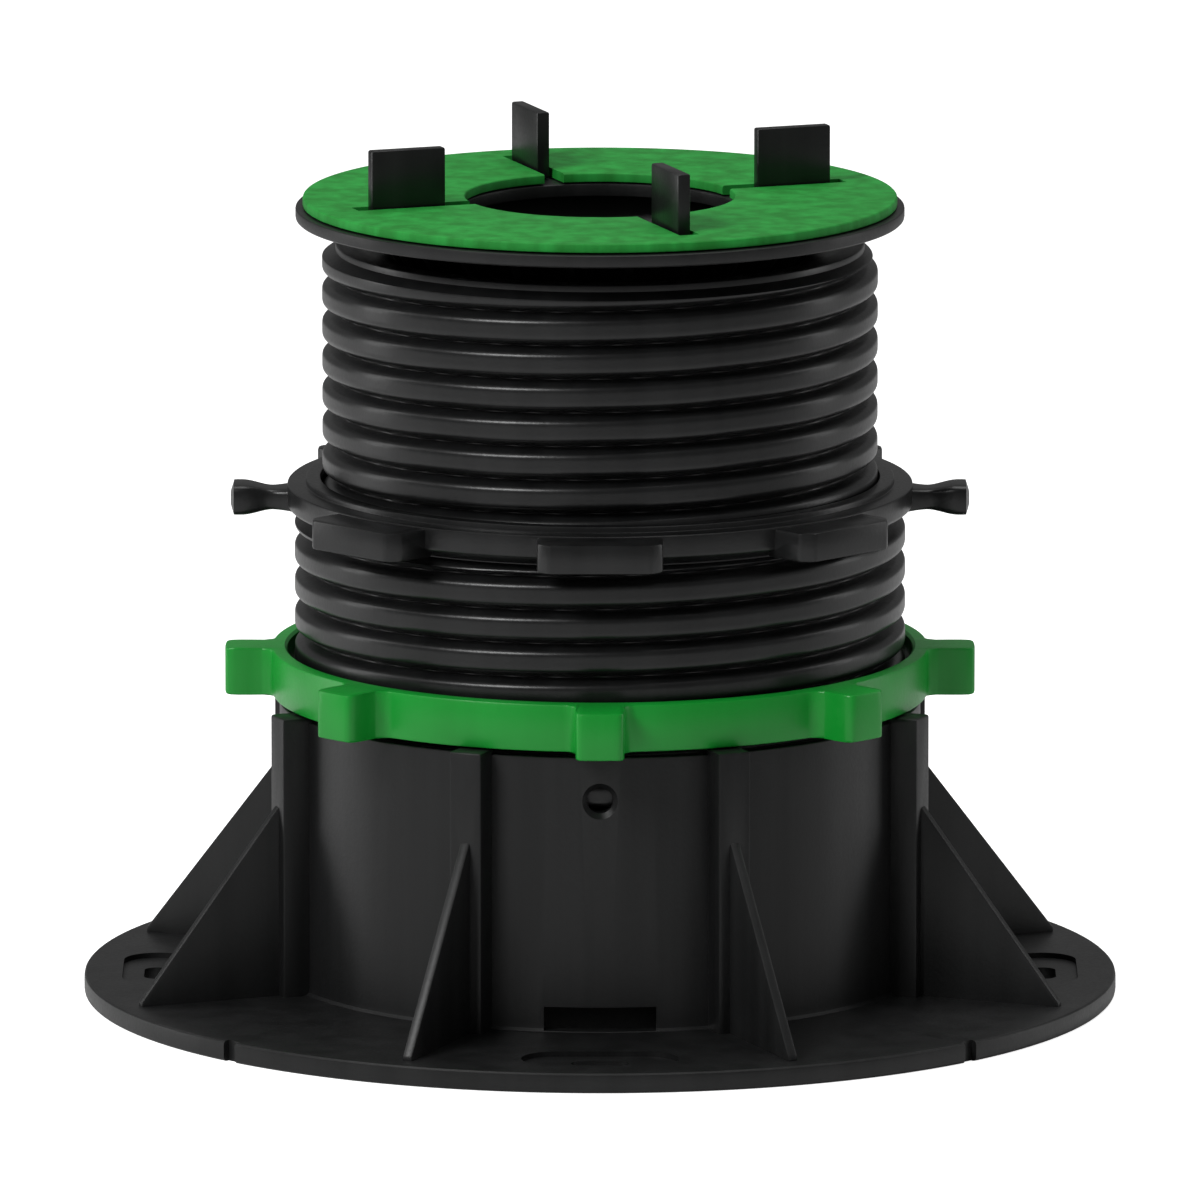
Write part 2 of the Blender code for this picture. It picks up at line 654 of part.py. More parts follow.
def make_retainer():
    """Retainer: a crossbar on the dish's floor, with a hub up through the head and a pin below."""
    section = [(PIN_RADIUS, -PIN_LENGTH), (PIN_RADIUS, 0.0), (HUB_RADIUS, 0.0),
               (HUB_RADIUS, HUB_HEIGHT - END_CHAMFER), (HUB_RADIUS - END_CHAMFER, HUB_HEIGHT)]
    angles = even_angles(HUB_SEGMENTS)
    shape = bmesh.new()
    rings = [add_ring(shape, angles, *item) for item in section]
    for lower, upper in zip(rings, rings[1:]):
        bridge(shape, lower, upper)
    shape.faces.new(list(reversed(rings[0])))
    shape.faces.new(rings[-1])
    colour = plastic("retainer_black", (0.016, 0.016, 0.017), 0.36)
    retainer = finish("head_retainer", shape, colour, RETAINER_Z)

    bar = bmesh.new()
    reach, arm = BAR_LENGTH / 2, BAR_WIDTH / 2
    waist, belly = BAR_WAIST_LENGTH / 2, BAR_WAIST_WIDTH / 2
    shoulder = HUB_RADIUS
    outline = [(-reach, -arm), (-waist, -arm), (-shoulder, -belly), (shoulder, -belly),
               (waist, -arm), (reach, -arm), (reach, arm), (waist, arm),
               (shoulder, belly), (-shoulder, belly), (-waist, arm), (-reach, arm)]
    add_plan(bar, outline, 0.0, BAR_HEIGHT, 0.0)
    helper("crossbar", bar, retainer, "UNION")
    return retainer


def make_head_plate(pivot):
    """Head plate: a disc over a ribbed bowl, whose ribs lie on the ball that tilts in the dish."""
    wall_bottom = BOWL_BOTTOM_RADIUS - RIB_DEPTH
    wall_top = BOWL_TOP_RADIUS - RIB_TOP_DEPTH
    inner_bottom = wall_bottom - BOWL_WALL
    inner_top = wall_top - BOWL_WALL
    section = [
        (BOWL_HOLE_RADIUS, -BOWL_DEPTH),
        (wall_bottom, -BOWL_DEPTH),
        (wall_top, 0.0),
        (DISC_RADIUS - DISC_CHAMFER, 0.0),
        (DISC_RADIUS, DISC_CHAMFER),
        (DISC_RADIUS, DISC_THICKNESS),
        (DISC_HOLE_RADIUS, DISC_THICKNESS),
        (DISC_HOLE_RADIUS, 0.0),
        (inner_top, 0.0),
        (inner_bottom, -BOWL_DEPTH + BOWL_FLOOR),
        (BOWL_HOLE_RADIUS, -BOWL_DEPTH + BOWL_FLOOR),
    ]
    body = turned(section, even_angles(HEAD_SEGMENTS))
    colour = plastic("head_black", (0.013, 0.013, 0.014), 0.42)
    head = finish("head_plate", body, colour, HEAD_Z, pivot)

    ribs = bmesh.new()
    bite = BOWL_WALL / 2
    arc = []
    for share in RIB_ARC_SHARES:
        up = -BOWL_DEPTH + SEAT_GAP + share * (BOWL_DEPTH - SEAT_GAP)
        arc.append((sqrt(BALL_RADIUS ** 2 - (BALL_RISE - up) ** 2), up))
    top = DISC_THICKNESS / 2
    outline = [(wall_bottom - bite, -BOWL_DEPTH + SEAT_GAP), *arc,
               (BOWL_TOP_RADIUS, top), (wall_top - bite, top), (wall_top - bite, 0.0)]
    for index in range(RIB_COUNT):
        add_plate(ribs, outline, RIB_THICKNESS, 360.0 / RIB_COUNT * (index + 0.5))
    helper("head_ribs", ribs, head, "UNION")
    return head


def make_head_pad(pivot):
    """Green pad on the head, slotted from its hole out past each spacer tab."""
    low = HEAD_Z + DISC_THICKNESS + SEAT_GAP
    section = [(DISC_HOLE_RADIUS, 0.0), (PAD_RADIUS, 0.0), (PAD_RADIUS, PAD_THICKNESS),
               (DISC_HOLE_RADIUS, PAD_THICKNESS)]
    body = turned(section, even_angles(HEAD_SEGMENTS))
    pad = finish("head_pad", body, plastic("pad_green", (0.016, 0.290, 0.040), 0.60), low, pivot)
    slots = bmesh.new()
    end = TAB_RADIUS + TAB_LENGTH / 2 + PAD_SLOT_MARGIN
    for angle in TAB_ANGLES:
        outline = bar_outline(DISC_HOLE_RADIUS - PAD_SLOT_MARGIN, end, PAD_SLOT_WIDTH)
        add_plan(slots, outline, -PAD_THICKNESS, 2 * PAD_THICKNESS, angle)
    helper("tab_slots", slots, pad, "DIFFERENCE")
    return pad


def make_spacer_tab(number, angle, pivot):
    """Spacer tab: an upright plate that sets the gap between boards or slabs."""
    shape = bmesh.new()
    half = TAB_LENGTH / 2
    outline = bar_outline(TAB_RADIUS - half, TAB_RADIUS + half, TAB_THICKNESS)
    height = PAD_THICKNESS + TAB_HEIGHT
    shrink = 1.0 - 2 * TAB_TAPER / TAB_THICKNESS
    add_plan(shape, outline, 0.0, height, angle, shrink)
    low = HEAD_Z + DISC_THICKNESS + SEAT_GAP
    colour = plastic(f"tab_{number}_black", (0.013, 0.013, 0.014), 0.40)
    return finish(f"spacer_tab_{number}", shape, colour, low, pivot)


clear_scene()
make_base()
make_base_wall()
make_lock_ring()
make_coupler()
make_riser_tube()
make_retainer()
head_pivot = bpy.data.objects.new("head_pivot", None)
head_pivot.location = (0.0, 0.0, TILT_Z)
bpy.context.collection.objects.link(head_pivot)
make_head_plate(head_pivot)
make_head_pad(head_pivot)
for tab_number, tab_angle in enumerate(TAB_ANGLES, start=1):
    make_spacer_tab(tab_number, tab_angle, head_pivot)
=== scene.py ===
"""The looks of an adjustable decking pedestal, piece by piece in the order it is put together.

Metres, +Z up, the front with the small round hole facing -Y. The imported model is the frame.
"""

import json
import math

import bpy
import numpy as np
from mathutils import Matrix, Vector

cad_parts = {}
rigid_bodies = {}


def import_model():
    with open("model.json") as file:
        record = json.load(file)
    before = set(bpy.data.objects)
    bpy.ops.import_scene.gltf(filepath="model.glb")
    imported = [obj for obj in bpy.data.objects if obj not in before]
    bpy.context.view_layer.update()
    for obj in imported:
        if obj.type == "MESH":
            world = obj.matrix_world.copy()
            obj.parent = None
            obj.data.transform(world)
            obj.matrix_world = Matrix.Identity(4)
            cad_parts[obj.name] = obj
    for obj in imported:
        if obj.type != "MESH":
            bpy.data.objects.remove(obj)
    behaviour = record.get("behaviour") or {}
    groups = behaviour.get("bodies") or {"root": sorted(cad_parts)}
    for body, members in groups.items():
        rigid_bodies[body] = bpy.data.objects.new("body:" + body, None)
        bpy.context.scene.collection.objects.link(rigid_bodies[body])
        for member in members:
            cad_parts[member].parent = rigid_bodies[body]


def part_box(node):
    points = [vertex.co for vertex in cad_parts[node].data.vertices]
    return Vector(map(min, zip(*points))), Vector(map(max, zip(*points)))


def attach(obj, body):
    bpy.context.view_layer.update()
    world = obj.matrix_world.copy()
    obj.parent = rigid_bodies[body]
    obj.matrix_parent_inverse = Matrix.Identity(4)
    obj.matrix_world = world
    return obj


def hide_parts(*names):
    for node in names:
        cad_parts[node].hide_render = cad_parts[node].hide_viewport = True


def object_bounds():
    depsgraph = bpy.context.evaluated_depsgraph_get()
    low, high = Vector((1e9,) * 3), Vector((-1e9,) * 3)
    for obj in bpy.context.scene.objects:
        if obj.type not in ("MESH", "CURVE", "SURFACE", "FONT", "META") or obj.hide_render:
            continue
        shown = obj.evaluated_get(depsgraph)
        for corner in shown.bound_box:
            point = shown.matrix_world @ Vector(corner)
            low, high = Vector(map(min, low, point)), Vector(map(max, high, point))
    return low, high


for item in list(bpy.data.objects):
    bpy.data.objects.remove(item, do_unlink=True)
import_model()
cad_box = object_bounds()

# Base: one black moulding that stands on the roof. A wall with a nut thread rises from a broad
# flange, stiffened by eight pilasters with a gusset at the foot of each. Fixing slots, drain
# windows and a small round hole are moulded through it.
ROUND_STEPS = 192
PITCH = 0.0065
THREAD_POWER = 2.6
THREAD_ROW = 0.00016
SEAT_GAP = 0.0003
BASE_HEIGHT = 0.0575
FLANGE_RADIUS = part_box("base")[1].x
FLANGE_THICKNESS = 0.0040
WALL_RADIUS = 0.0620
WALL_BORE = 0.0594
NUT_ROOT = 0.0570
NUT_TURNS = 2.5
NUT_MARGIN = 0.0006
FLOOR_HOLE = 0.0150
FLOOR_THICKNESS = 0.0030
PILASTER_RADIUS = 0.0673
PILASTER_WIDTH = 0.0066
PILASTER_BITE = 0.0012
PILASTER_RISE = 0.0010
PILASTER_COUNT = 8
GUSSET_REACH = 0.0957
GUSSET_TOP = 0.0411
GUSSET_THICKNESS = 0.0020
GUSSET_BITE = 0.0020
GUSSET_LIP = 0.0008
POCKET_RADIUS = 0.0860
POCKET_LENGTH = 0.0300
POCKET_WIDTH = 0.0130
POCKET_DEPTH = 0.0010
SLOT_LENGTH = 0.0110
SLOT_WIDTH = 0.0048
WINDOW_WIDTH = 0.0215
WINDOW_HEIGHT = 0.0046
NOTCH_DEPTH = 0.0014
NOTCH_WIDTH = 0.0030
WALL_MARGIN = 0.0026
CUT_LOW = -0.0040
CUT_HIGH = 0.0080
HOLE_RADIUS = 0.0025
HOLE_MOUTH = 0.0061
HOLE_DROP = 0.0085
HOLE_STEPS = 40
BLACK = (0.0040, 0.0042, 0.0043)
BLACK_SHEEN = (0.0100, 0.0103, 0.0105)


def rounded(points, fillets, steps=4):
    """A section line whose corners are arcs.

    Each corner is cut back along both of its sides by its fillet, but by no more than 0.45 of
    either side's length, and the arc between is a quadratic Bezier through the corner, read at even
    parameters.
    """
    points = np.array(points, float)
    fillets = np.broadcast_to(fillets, len(points))
    before, after = np.roll(points, 1, axis=0), np.roll(points, -1, axis=0)
    line = []
    for corner, last, following, fillet in zip(points, before, after, fillets):
        back, ahead = last - corner, following - corner
        reach = min(fillet, 0.45 * np.linalg.norm(back), 0.45 * np.linalg.norm(ahead))
        if reach <= 0.0:
            line.append(corner[None])
            continue
        start = corner + back / np.linalg.norm(back) * reach
        end = corner + ahead / np.linalg.norm(ahead) * reach
        t = np.linspace(0.0, 1.0, steps)[:, None]
        line.append((1 - t) ** 2 * start + 2 * t * (1 - t) * corner + t ** 2 * end)
    return np.concatenate(line)


def mesh_piece(name, vertices, faces, sharp=32.0):
    """A mesh object at the origin from arrays, smooth but for its edges past an angle."""
    mesh = bpy.data.meshes.new(name)
    mesh.from_pydata(np.asarray(vertices).reshape(-1, 3).tolist(), [], np.asarray(faces).tolist())
    mesh.validate()
    mesh.shade_smooth()
    mesh.set_sharp_from_angle(angle=math.radians(sharp))
    piece = bpy.data.objects.new(name, mesh)
    bpy.context.scene.collection.objects.link(piece)
    return piece


def turned(name, rows, sharp=32.0):
    """A closed ring-shaped surface of two parameters: round the axis, and round its section.

    rows is a list of blocks, each either (n, 2) radii and heights that are alike all round, or an
    (n, columns, 2) array that also varies round the axis. Column j stands at 2 pi j / columns.
    """
    blocks = [np.repeat(b[:, None, :], ROUND_STEPS, axis=1) if b.ndim == 2 else b for b in rows]
    grid = np.concatenate(blocks)
    angle = 2 * np.pi * np.arange(ROUND_STEPS) / ROUND_STEPS
    radius, height = grid[..., 0], grid[..., 1]
    places = np.stack([radius * np.cos(angle), radius * np.sin(angle), height], axis=-1)
    count = len(grid)
    row, column = np.meshgrid(np.arange(count), np.arange(ROUND_STEPS), indexing="ij")
    up, across = (row + 1) % count, (column + 1) % ROUND_STEPS
    faces = np.stack([row * ROUND_STEPS + column, row * ROUND_STEPS + across,
                      up * ROUND_STEPS + across, up * ROUND_STEPS + column], axis=-1)
    return mesh_piece(name, places, faces.reshape(-1, 4), sharp)


def screw_rows(start, end, crest, root, datum, internal=False):
    """Rows of a right-hand screw between two heights.

    With d the distance to the nearest crest in pitches, measured along the axis from
    datum + pitch * angle / 2 pi, an outer screw's radius falls from its crest by the depth times
    sin(pi / 2 (2 d) ** power) squared, which gives broad round crests and narrow grooves. A nut
    has a plain bore, and a ridge that rises towards the root as a smooth step about d = 1/2.
    """
    count = max(2, int(abs(end - start) / THREAD_ROW))
    height = np.linspace(start, end, count)[:, None]
    angle = (np.arange(ROUND_STEPS) / ROUND_STEPS)[None, :]
    phase = (height - datum) / PITCH - angle
    distance = np.abs(phase - np.round(phase))
    if internal:
        fall = np.clip((distance - 0.30) / 0.20, 0.0, 1.0)
        depth = (crest - root) * fall * fall * (3 - 2 * fall)
    else:
        depth = (crest - root) * np.sin(np.pi / 2 * (2 * distance) ** THREAD_POWER) ** 2
    ends = np.minimum(np.abs(height - start), np.abs(height - end))
    fade = np.clip(ends / (PITCH * 0.2), 0.0, 1.0)
    radius = crest - depth * fade if internal else root + (crest - root - depth) * fade
    return np.stack([radius, np.broadcast_to(height, radius.shape)], axis=-1)


def turn_about_axis(points, degrees):
    """Points turned about the pedestal's axis by an angle in degrees."""
    angle = math.radians(degrees)
    turn = np.array([[math.cos(angle), math.sin(angle), 0.0],
                     [-math.sin(angle), math.cos(angle), 0.0], [0.0, 0.0, 1.0]])
    return np.asarray(points, float) @ turn


def prism(outline, low, high, degrees=0.0):
    """Vertices and faces of an upright prism: an outline in plan, swept from low to high."""
    outline = np.array(outline, float)
    count = len(outline)
    bottom = np.column_stack([outline, np.full(count, low)])
    top = np.column_stack([outline, np.full(count, high)])
    vertices = turn_about_axis(np.concatenate([bottom, top]), degrees)
    index = np.arange(count)
    after = (index + 1) % count
    sides = np.column_stack([index, after, after + count, index + count]).tolist()
    return vertices, sides + [index[::-1].tolist(), (index + count).tolist()]


def plate(outline, thickness, degrees):
    """Vertices and faces of a radial plate: an outline in radius and height, given a thickness."""
    outline = np.array(outline, float)
    count = len(outline)
    near = np.column_stack([outline[:, 0], np.full(count, thickness / 2), outline[:, 1]])
    far = near * (1, -1, 1)
    vertices = turn_about_axis(np.concatenate([near, far]), degrees)
    index = np.arange(count)
    after = (index + 1) % count
    sides = np.column_stack([index, after, after + count, index + count]).tolist()
    return vertices, sides + [index[::-1].tolist(), (index + count).tolist()]


def gather(name, solids, bevel=0.0):
    """Several separate solids as one object, their edges rounded by a live bevel if one is given."""
    vertices, faces, start = [], [], 0
    for places, sides in solids:
        vertices.append(places)
        faces += [[corner + start for corner in side] for side in sides]
        start += len(places)
    mesh = bpy.data.meshes.new(name)
    mesh.from_pydata(np.concatenate(vertices).tolist(), [], faces)
    piece = bpy.data.objects.new(name, mesh)
    bpy.context.scene.collection.objects.link(piece)
    if bevel:
        edge = piece.modifiers.new("edge", "BEVEL")
        edge.width, edge.segments, edge.limit_method = bevel, 2, "ANGLE"
    return piece


def shaped(piece, *changes, sharp=32.0):
    """Join or cut solids, each (object, "UNION" or "DIFFERENCE"), and keep the finished mesh."""
    for number, (tool, operation) in enumerate(changes):
        cut = piece.modifiers.new(f"shape_{number}", "BOOLEAN")
        cut.object, cut.operation, cut.solver = tool, operation, "EXACT"
    bpy.context.view_layer.update()
    finished = bpy.data.meshes.new_from_object(
        piece.evaluated_get(bpy.context.evaluated_depsgraph_get()))
    piece.modifiers.clear()
    piece.data = finished
    finished.name = piece.name
    for tool, _ in changes:
        bpy.data.objects.remove(tool, do_unlink=True)
    finished.shade_smooth()
    finished.set_sharp_from_angle(angle=math.radians(sharp))
    return piece


def box_outline(inner, outer, width):
    """A rectangle in plan, from an inner to an outer radius."""
    half = width / 2
    return [(inner, -half), (outer, -half), (outer, half), (inner, half)]


def oval_outline(radius, length, width, steps=16):
    """A slot with round ends, its length across the radius."""
    angle = np.linspace(0.0, np.pi, steps)
    end = np.column_stack([np.cos(angle), np.sin(angle)]) * width / 2
    reach = (length - width) / 2
    outline = np.concatenate([end + (0.0, reach), -end - (0.0, reach)])
    return outline + (radius, 0.0)


def moulding_group():
    """Shader group of a moulded skin, in object coordinates.

    A fine grain and faint flow streaks drawn up the height shade the colour and the gloss, and
    the grain alone lifts the surface.
    """
    group = bpy.data.node_groups.new("moulded_skin", "ShaderNodeTree")
    for label, kind in (("Colour", "Color"), ("Sheen Colour", "Color"), ("Gloss", "Float"),
                        ("Grain", "Float"), ("Streaks", "Float"), ("Lift", "Float")):
        group.interface.new_socket(label, in_out="INPUT", socket_type=f"NodeSocket{kind}")
    for label, kind in (("Colour", "Color"), ("Roughness", "Float"), ("Normal", "Vector")):
        group.interface.new_socket(label, in_out="OUTPUT", socket_type=f"NodeSocket{kind}")
    nodes, links = group.nodes, group.links
    entry, out = nodes.new("NodeGroupInput"), nodes.new("NodeGroupOutput")
    place = nodes.new("ShaderNodeTexCoord")
    grain = nodes.new("ShaderNodeTexNoise")
    grain.inputs["Detail"].default_value = 3.0
    links.new(place.outputs["Object"], grain.inputs["Vector"])
    links.new(entry.outputs["Grain"], grain.inputs["Scale"])
    drawn = nodes.new("ShaderNodeMapping")
    drawn.inputs["Scale"].default_value = (1.0, 1.0, 0.04)
    links.new(place.outputs["Object"], drawn.inputs["Vector"])
    flow = nodes.new("ShaderNodeTexNoise")
    flow.inputs["Detail"].default_value = 4.0
    links.new(drawn.outputs["Vector"], flow.inputs["Vector"])
    links.new(entry.outputs["Streaks"], flow.inputs["Scale"])
    tone = nodes.new("ShaderNodeMapRange")
    tone.inputs["From Min"].default_value = 0.35
    tone.inputs["From Max"].default_value = 0.70
    links.new(flow.outputs["Fac"], tone.inputs["Value"])
    blend = nodes.new("ShaderNodeMix")
    blend.data_type = "RGBA"
    links.new(tone.outputs["Result"], blend.inputs["Factor"])
    links.new(entry.outputs["Colour"], blend.inputs["A"])
    links.new(entry.outputs["Sheen Colour"], blend.inputs["B"])
    links.new(blend.outputs["Result"], out.inputs["Colour"])
    gloss = nodes.new("ShaderNodeMath")
    gloss.operation = "MULTIPLY_ADD"
    gloss.inputs[1].default_value = 0.16
    links.new(grain.outputs["Fac"], gloss.inputs[0])
    links.new(entry.outputs["Gloss"], gloss.inputs[2])
    links.new(gloss.outputs["Value"], out.inputs["Roughness"])
    bump = nodes.new("ShaderNodeBump")
    bump.inputs["Distance"].default_value = 0.0001
    links.new(entry.outputs["Lift"], bump.inputs["Strength"])
    links.new(grain.outputs["Fac"], bump.inputs["Height"])
    links.new(bump.outputs["Normal"], out.inputs["Normal"])
    return group


moulded_skin = moulding_group()


def moulded(name, colour, sheen, gloss, grain=1400.0, streaks=160.0, lift=0.25):
    """A moulded plastic from the skin group; gloss is the least roughness it has."""
    material = bpy.data.materials.new(name)
    material.use_nodes = True
    nodes, links = material.node_tree.nodes, material.node_tree.links
    skin = nodes.new("ShaderNodeGroup")
    skin.node_tree = moulded_skin
    skin.inputs["Colour"].default_value = (*colour, 1.0)
    skin.inputs["Sheen Colour"].default_value = (*sheen, 1.0)
    skin.inputs["Gloss"].default_value = gloss
    skin.inputs["Grain"].default_value = grain
    skin.inputs["Streaks"].default_value = streaks
    skin.inputs["Lift"].default_value = lift
    shader = nodes["Principled BSDF"]
    shader.inputs["Specular IOR Level"].default_value = 0.4
    links.new(skin.outputs["Colour"], shader.inputs["Base Color"])
    links.new(skin.outputs["Roughness"], shader.inputs["Roughness"])
    links.new(skin.outputs["Normal"], shader.inputs["Normal"])
    return material


def stand_for(piece, material, body, slot, *nodes):
    """Give a finished piece its material, and let it ride on its body and stand for CAD nodes."""
    piece.data.materials.clear()
    piece.data.materials.append(material)
    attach(piece, body)
    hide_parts(*nodes)


nut_top = BASE_HEIGHT - NUT_MARGIN
nut_bottom = nut_top - NUT_TURNS * PITCH
coupler_low, coupler_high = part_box("coupler")
flange_and_wall = rounded(
    [(FLOOR_HOLE, 0.0), (FLANGE_RADIUS, 0.0), (FLANGE_RADIUS, FLANGE_THICKNESS),
     (WALL_RADIUS, FLANGE_THICKNESS), (WALL_RADIUS, BASE_HEIGHT), (WALL_BORE, BASE_HEIGHT)],
    [0.0003, 0.0009, 0.0009, 0.0016, 0.0004, 0.0006])
nut = screw_rows(nut_top - 0.0004, nut_bottom, WALL_BORE, NUT_ROOT, coupler_low.z, internal=True)
well = rounded([(WALL_BORE, nut_bottom - 0.0004), (WALL_BORE, FLOOR_THICKNESS),
                (FLOOR_HOLE, FLOOR_THICKNESS)], [0.0, 0.0012, 0.0003])
base = turned("base_moulding", [flange_and_wall, nut, well])

quarters = range(0, 360, 90)
eighths = [360.0 / PILASTER_COUNT * (number + 0.5) for number in range(PILASTER_COUNT)]
pilasters = gather("pilasters", [
    prism(box_outline(WALL_RADIUS - PILASTER_BITE, PILASTER_RADIUS, PILASTER_WIDTH),
          FLANGE_THICKNESS / 2, BASE_HEIGHT + PILASTER_RISE, angle) for angle in eighths], bevel=0.0005)
gusset_line = [(PILASTER_RADIUS - GUSSET_BITE, FLANGE_THICKNESS / 2),
               (GUSSET_REACH, FLANGE_THICKNESS / 2),
               (GUSSET_REACH, FLANGE_THICKNESS + GUSSET_LIP), (PILASTER_RADIUS, GUSSET_TOP),
               (PILASTER_RADIUS - GUSSET_BITE, GUSSET_TOP)]
gussets = gather("gussets", [plate(gusset_line, GUSSET_THICKNESS, angle) for angle in eighths],
                 bevel=0.0004)
pockets = gather("pockets", [
    prism(oval_outline(POCKET_RADIUS, POCKET_LENGTH, POCKET_WIDTH),
          FLANGE_THICKNESS - POCKET_DEPTH, CUT_HIGH, angle)
    for angle in quarters])
openings = gather("openings", [
    prism(oval_outline(POCKET_RADIUS, SLOT_LENGTH, SLOT_WIDTH), CUT_LOW, CUT_HIGH, angle)
    for angle in quarters] + [
    prism(box_outline(WALL_BORE - WALL_MARGIN, WALL_RADIUS + WALL_MARGIN, WINDOW_WIDTH),
          FLANGE_THICKNESS + SEAT_GAP, FLANGE_THICKNESS + SEAT_GAP + WINDOW_HEIGHT, angle)
    for angle in quarters] + [
    prism(box_outline(FLANGE_RADIUS - NOTCH_DEPTH, FLANGE_RADIUS + NOTCH_DEPTH, NOTCH_WIDTH),
          CUT_LOW, CUT_HIGH, angle)
    for angle in (-45.0, -135.0)])


def sight_hole():
    """The round hole's cutter: circles of (depth, radius) along -Y, the last ones a chamfer."""
    angle = 2 * np.pi * np.arange(HOLE_STEPS) / HOLE_STEPS
    circles = [(WALL_BORE - 0.0030, HOLE_RADIUS), (WALL_RADIUS - 0.0010, HOLE_RADIUS),
               (WALL_RADIUS + WALL_MARGIN, HOLE_MOUTH)]
    rings = [np.column_stack([radius * np.cos(angle), np.full(HOLE_STEPS, -depth),
                              radius * np.sin(angle) + BASE_HEIGHT - HOLE_DROP])
             for depth, radius in circles]
    index = np.arange(HOLE_STEPS)
    after = (index + 1) % HOLE_STEPS
    sides = np.column_stack([index, after, after + HOLE_STEPS, index + HOLE_STEPS])
    ends = [index[::-1].tolist(), (index + 2 * HOLE_STEPS).tolist()]
    return np.concatenate(rings), sides.tolist() + (sides + HOLE_STEPS).tolist() + ends


hole = gather("hole", [sight_hole()])
shaped(base, (pilasters, "UNION"), (gussets, "UNION"), (pockets, "DIFFERENCE"),
       (openings, "DIFFERENCE"), (hole, "DIFFERENCE"))
base_black = moulded("base_black", BLACK, BLACK_SHEEN, 0.34)
stand_for(base, base_black, "base", "base_plastic", "base", "base_wall")

# Lock ring: a green moulded nut that sits on the base's rim and holds the coupler where it is
# set. Eight square lobes with hollow flanks give the fingers a hold.
RING_BORE = 0.0605
RING_RADIUS = 0.0635
LOBE_COUNT = 8
LOBE_HALF_WIDTH = 0.0050
LOBE_SQUARENESS = 14
FILLET_HEIGHT = 0.0022
FILLET_REACH = 0.0030
RING_EDGE = 0.0005
GREEN = (0.0030, 0.2600, 0.0220)
GREEN_SHEEN = (0.0070, 0.3200, 0.0330)
ring_low, ring_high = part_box("lock_ring")
LOBE_RADIUS = ring_high.x


def lobed_radius(angle, inset=0.0):
    """Outer radius of the lobed ring at an angle.

    Across a lobe, x is the distance from its middle line: the outline is the lobe's tip where x is
    within the lobe's half width, with corners as a superellipse, and falls to the band beyond it
    along a fillet.
    """
    spacing = 2 * np.pi / LOBE_COUNT
    off = np.abs((angle + spacing / 2) % spacing - spacing / 2)
    across = off * LOBE_RADIUS
    share = np.clip(across / LOBE_HALF_WIDTH, 0.0, 1.0)
    tip = RING_RADIUS + (LOBE_RADIUS - RING_RADIUS) * (1 - share ** LOBE_SQUARENESS) ** (1 / 3)
    beyond = np.clip((across - LOBE_HALF_WIDTH) / FILLET_REACH, 0.0, 1.0)
    fillet = RING_RADIUS + FILLET_HEIGHT * (1 - beyond) ** 2.5
    return np.maximum(tip, fillet) - inset


def lobe_angles():
    """Angles round the ring, crowded where a lobe's flank turns."""
    spacing = 2 * np.pi / LOBE_COUNT
    side = LOBE_HALF_WIDTH / LOBE_RADIUS
    near = side * (1 - np.linspace(1.0, 0.0, 9) ** 2.2)
    beyond = side + np.linspace(0.0, 1.0, 7)[1:] ** 1.5 * 0.0032 / LOBE_RADIUS
    plain = np.linspace(beyond[-1], spacing / 2, 7)[1:]
    half = np.concatenate([near, beyond, plain])
    whole = np.concatenate([-half[1:-1][::-1], half])
    return np.concatenate([whole + number * spacing for number in range(LOBE_COUNT)])


def lobed_ring():
    """The ring as a grid: its section's rows, and columns at the crowded angles."""
    angle = lobe_angles()
    edge = RING_EDGE
    low, high = ring_low.z, ring_high.z
    rows = [(RING_BORE + edge, low, None), (None, low, edge), (None, low + edge * 0.3, edge * 0.3),
            (None, low + edge, 0.0), (None, high - edge, 0.0), (None, high - edge * 0.3, edge * 0.3),
            (None, high, edge), (RING_BORE + edge, high, None), (RING_BORE, high - edge, None),
            (RING_BORE, low + edge, None)]
    places = []
    for radius, height, inset in rows:
        reach = np.full(len(angle), radius) if inset is None else lobed_radius(angle, inset)
        places.append(np.column_stack([reach * np.cos(angle), reach * np.sin(angle),
                                       np.full(len(angle), height)]))
    count, columns = len(rows), len(angle)
    row, column = np.meshgrid(np.arange(count), np.arange(columns), indexing="ij")
    up, across = (row + 1) % count, (column + 1) % columns
    faces = np.stack([row * columns + column, row * columns + across,
                      up * columns + across, up * columns + column], axis=-1)
    return mesh_piece("lock_ring_moulding", np.concatenate(places), faces.reshape(-1, 4), 40.0)


lock_ring = lobed_ring()
ring_green = moulded("ring_green", GREEN, GREEN_SHEEN, 0.28, streaks=60.0)
stand_for(lock_ring, ring_green, "ring", "ring_plastic", "lock_ring")

# Coupler: a black tube screwed inside and out, so that it joins the base to the riser tube. Six
# broad shelves and two handles stand out from its collar, to turn it by and to stop it.
COUPLER_BORE = 0.0540
COUPLER_ROOT = 0.0564
COUPLER_CREST = 0.0590
COLLAR_RADIUS = 0.0604
COLLAR_RING = 0.0568
COLLAR_STEP = 0.0012
COLLAR_HEIGHT = 0.0055
COUPLER_NUT_ROOT = 0.0516
SHELF_RADIUS = 0.0680
SHELF_WIDTH = 0.0240
SHELF_HEIGHT = 0.0057
SHELF_CORNER = 0.0022
SHELF_ANGLES = (-90.0, -45.0, 45.0, 90.0, 135.0, -135.0)
HANDLE_RADIUS = coupler_high.x
tube_low, tube_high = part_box("riser_tube")
low, high = coupler_low.z, coupler_high.z
collar_low = high - COLLAR_HEIGHT
nut_high = high - NUT_MARGIN
nut_low = nut_high - NUT_TURNS * PITCH
foot = rounded([(COUPLER_BORE, nut_low - 0.0004), (COUPLER_BORE, low), (COUPLER_ROOT - 0.0006, low),
                (COUPLER_ROOT, low + 0.0010)], [0.0, 0.0004, 0.0004, 0.0])
